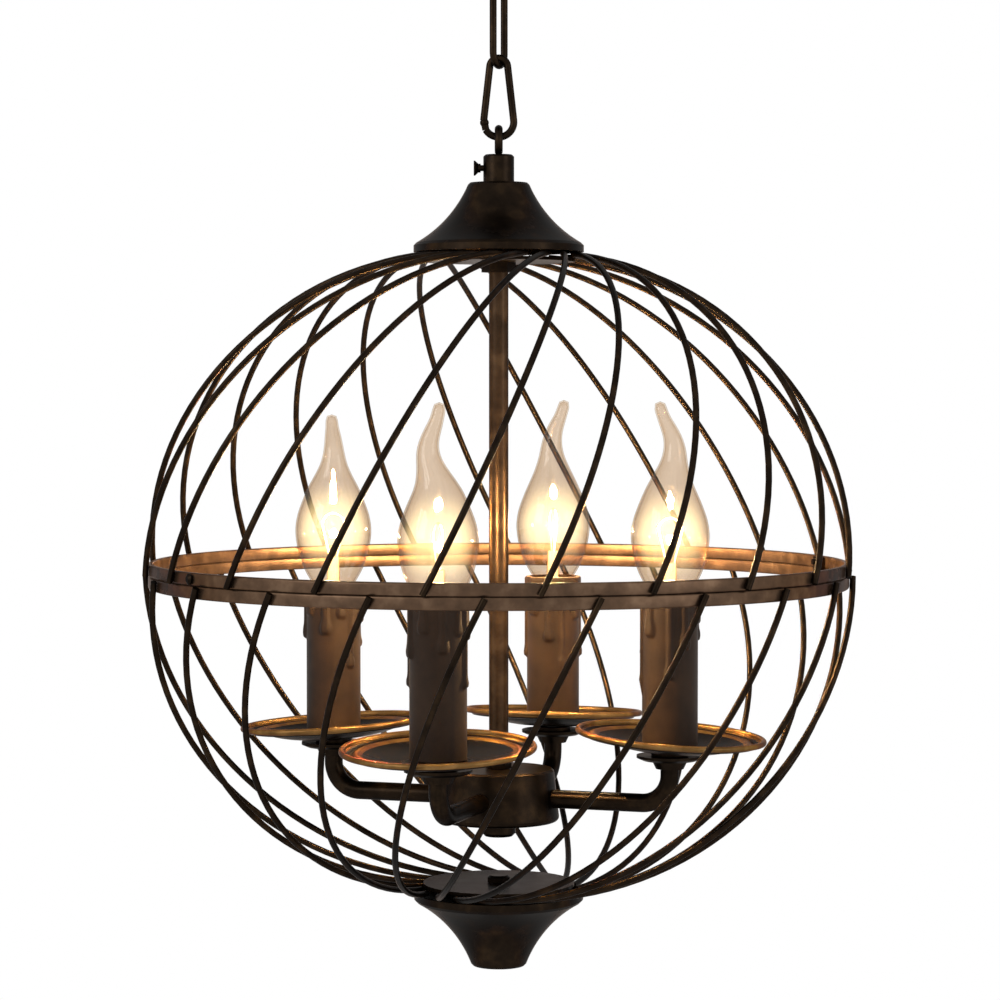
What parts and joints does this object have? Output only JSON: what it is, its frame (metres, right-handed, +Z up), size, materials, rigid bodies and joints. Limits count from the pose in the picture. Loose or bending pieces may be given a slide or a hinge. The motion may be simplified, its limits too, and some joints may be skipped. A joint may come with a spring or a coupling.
{
  "type": "orb chandelier",
  "caption": "Hanging orb chandelier: a spherical cage of bent wires in two halves round a candle-arm cluster, on a loop and link.",
  "frame": {"origin": "on the ceiling plane, midway between the two ceiling screw holes of the bracket", "axes": "+Z up, +X to the right and +Y away from the viewer in the pictured view"},
  "size_m": [0.3511, 0.351, 0.5251],
  "materials": {
    "bronze_coat": "oil-rubbed bronze powder coat",
    "clear_glass": "clear blown glass",
    "screw_base_metal": "rolled brass screw shell",
    "filament_stem": "glass stem with lit filament",
    "holder_plastic": "black moulded lampholder",
    "candle_moulding": "bronze-black moulded candle",
    "plated_steel": "zinc plated"
  },
  "bodies": {
    "ceiling": {"ceiling_canopy": "bronze_coat", "ceiling_bracket": "plated_steel", "ceiling_loop": "bronze_coat", "stem_nut": "plated_steel"},
    "link": {"chain_link": "bronze_coat"},
    "pear": {"pear_link": "bronze_coat"},
    "bulb_1": {"bulb_glass_1": "clear_glass", "bulb_base_1": "screw_base_metal", "bulb_stem_1": "filament_stem"},
    "bulb_2": {"bulb_glass_2": "clear_glass", "bulb_base_2": "screw_base_metal", "bulb_stem_2": "filament_stem"},
    "bulb_3": {"bulb_glass_3": "clear_glass", "bulb_base_3": "screw_base_metal", "bulb_stem_3": "filament_stem"},
    "bulb_4": {"bulb_glass_4": "clear_glass", "bulb_base_4": "screw_base_metal", "bulb_stem_4": "filament_stem"},
    "lamp": {"hanging_eye": "bronze_coat", "top_cap": "bronze_coat", "upper_rib_plate": "bronze_coat", "cap_nut": "bronze_coat", "upper_ribs": "bronze_coat", "upper_band": "bronze_coat", "lower_band": "bronze_coat", "lower_ribs": "bronze_coat", "joint_tabs": "bronze_coat", "joint_screws": "bronze_coat", "lower_rib_plate": "bronze_coat", "bottom_cup": "bronze_coat", "cup_screw": "bronze_coat", "centre_rod": "bronze_coat", "hub_can": "bronze_coat", "hub_cover": "bronze_coat", "hub_top_nut": "bronze_coat", "hub_bottom_nut": "bronze_coat", "arm_1": "bronze_coat", "pan_seat_1": "bronze_coat", "drip_pan_1": "bronze_coat", "lampholder_1": "holder_plastic", "candle_sleeve_1": "candle_moulding", "arm_2": "bronze_coat", "pan_seat_2": "bronze_coat", "drip_pan_2": "bronze_coat", "lampholder_2": "holder_plastic", "candle_sleeve_2": "candle_moulding", "arm_3": "bronze_coat", "pan_seat_3": "bronze_coat", "drip_pan_3": "bronze_coat", "lampholder_3": "holder_plastic", "candle_sleeve_3": "candle_moulding", "arm_4": "bronze_coat", "pan_seat_4": "bronze_coat", "drip_pan_4": "bronze_coat", "lampholder_4": "holder_plastic", "candle_sleeve_4": "candle_moulding"},
    "thumb_screw": {"thumb_screw": "bronze_coat"}
  },
  "joints": [
    {"name": "link_swing", "type": "hinge", "parent": "ceiling", "child": "link", "pos_m": [0, 0, -0.0436], "axis": [1, 0, 0], "range_deg": [-45, 45]},
    {"name": "pear_swing", "type": "hinge", "parent": "link", "child": "pear", "pos_m": [0, 0, -0.0801], "axis": [0, 1, 0], "range_deg": [-45, 45]},
    {"name": "lamp_swing", "type": "hinge", "parent": "pear", "child": "lamp", "pos_m": [0, 0, -0.1151], "axis": [1, 0, 0], "range_deg": [-45, 45]},
    {"name": "thumb_screw_out", "type": "slide", "parent": "lamp", "child": "thumb_screw", "axis": [-1, 0, 0], "range_m": [0, 0.003]},
    {"name": "bulb_1_out", "type": "slide", "parent": "lamp", "child": "bulb_1", "axis": [0, 0, 1], "range_m": [0, 0.03]},
    {"name": "bulb_2_out", "type": "slide", "parent": "lamp", "child": "bulb_2", "axis": [0, 0, 1], "range_m": [0, 0.03]},
    {"name": "bulb_3_out", "type": "slide", "parent": "lamp", "child": "bulb_3", "axis": [0, 0, 1], "range_m": [0, 0.03]},
    {"name": "bulb_4_out", "type": "slide", "parent": "lamp", "child": "bulb_4", "axis": [0, 0, 1], "range_m": [0, 0.03]}
  ]
}
